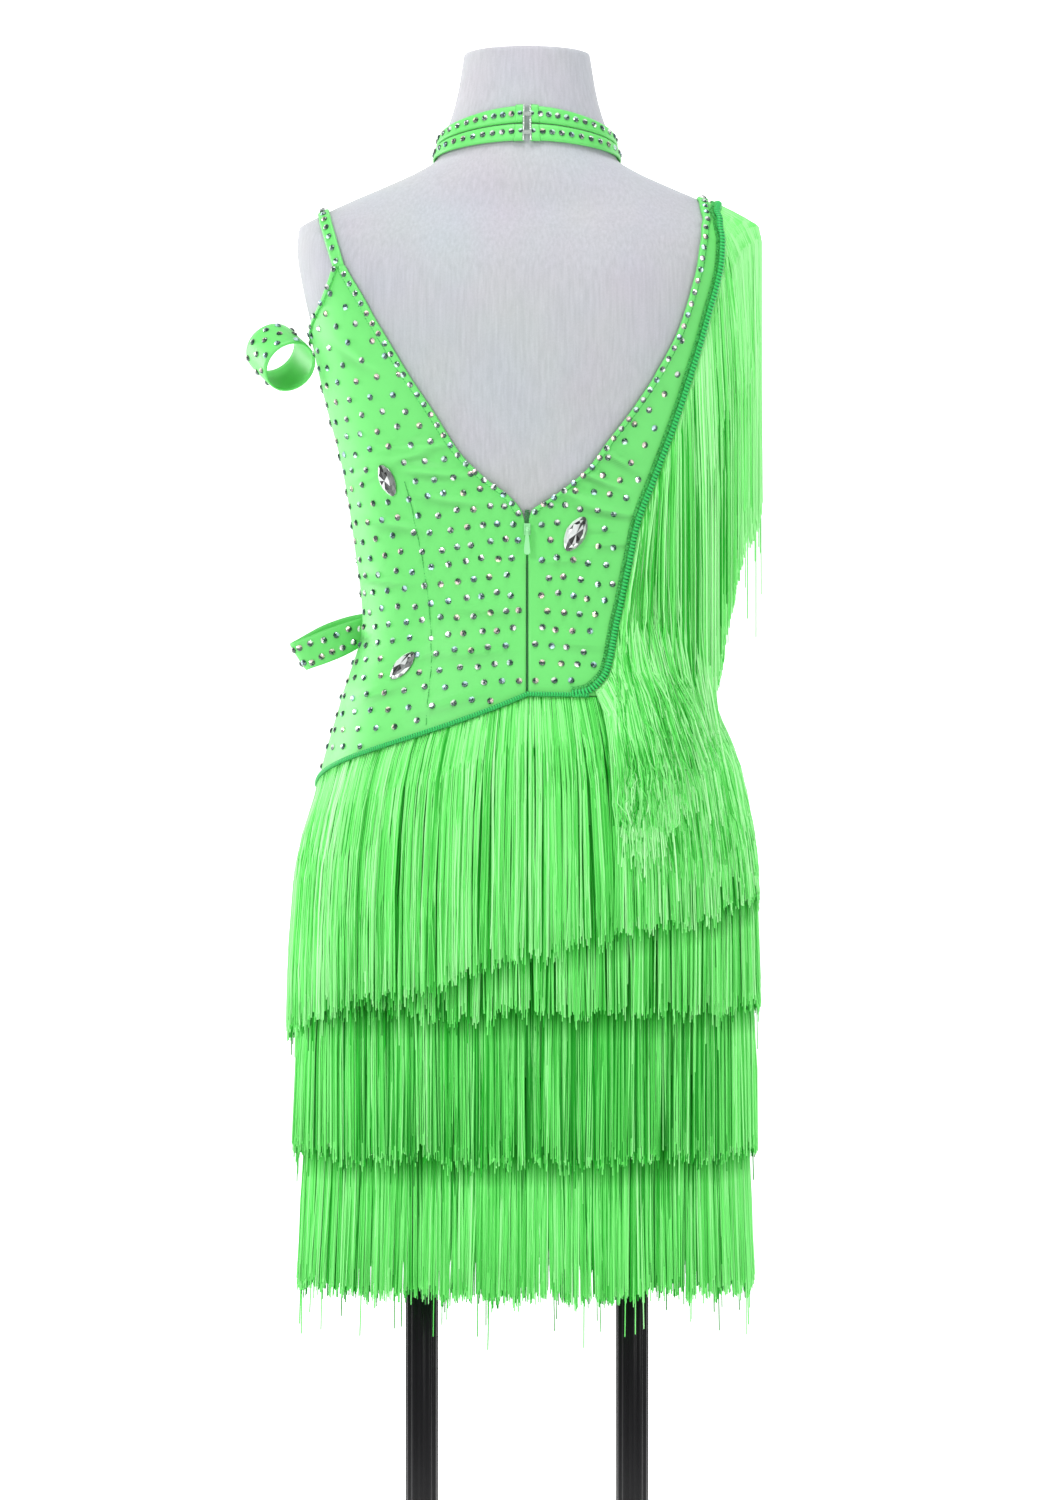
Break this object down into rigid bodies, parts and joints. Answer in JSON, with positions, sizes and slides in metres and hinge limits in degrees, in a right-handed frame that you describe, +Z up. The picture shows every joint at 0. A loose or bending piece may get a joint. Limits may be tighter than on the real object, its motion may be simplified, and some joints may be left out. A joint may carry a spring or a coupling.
{
  "type": "dance competition dress on a limbless dress form",
  "caption": "Short stretch dance dress with a deep open back, tiers of fringe, a shoulder fringe and a stoned collar, on a limbless dress form with a two-post stand.",
  "frame": {"origin": "on the floor, at the middle of the underside of the stand's base plate", "axes": "+Z up, -Y the way the wearer faces, +Y out of the wearer's back, +X to the wearer's left"},
  "size_m": [0.42, 0.32, 1.475],
  "materials": {
    "stretch_cloth": "matt two-way stretch cloth, fluorescent green",
    "fringe": "silky rayon fringe, fluorescent green",
    "crystal": "foiled cut glass",
    "zip": "dyed nylon zip with a painted pull",
    "hook": "plated wire",
    "form_cover": "pale grey jersey cover over foam",
    "stand": "satin black"
  },
  "bodies": {
    "dress": {"base_plate": "stand", "post_left": "stand", "post_right": "stand", "dress_form": "form_cover", "bodice_front": "stretch_cloth", "bodice_back_left": "stretch_cloth", "bodice_back_right": "stretch_cloth", "shoulder_strap_left": "stretch_cloth", "neck_binding_left": "stretch_cloth", "neck_binding_right": "stretch_cloth", "armhole_binding_left": "stretch_cloth", "side_loop_upper": "stretch_cloth", "side_loop_lower": "stretch_cloth", "skirt_back": "stretch_cloth", "skirt_front": "stretch_cloth", "collar_band_upper": "stretch_cloth", "collar_band_lower": "stretch_cloth", "collar_tab_left": "stretch_cloth", "collar_tab_right": "stretch_cloth", "crystal_back_upper": "crystal", "crystal_back_right": "crystal", "crystal_back_lower": "crystal", "zip_teeth": "zip", "zip_slider": "zip", "fringe_tier_top": "fringe", "fringe_tier_second": "fringe", "fringe_tier_third": "fringe", "fringe_tier_lowest": "fringe", "fringe_shoulder": "fringe", "collar_hook_upper": "hook", "collar_hook_lower": "hook"},
    "zip_pull": {"zip_pull": "zip"}
  },
  "joints": [
    {"name": "zip_pull_swing", "type": "hinge", "parent": "dress", "child": "zip_pull", "pos_m": [0, 0.09095, 1.096], "axis": [1, 0, 0], "range_deg": [0, 150]}
  ]
}
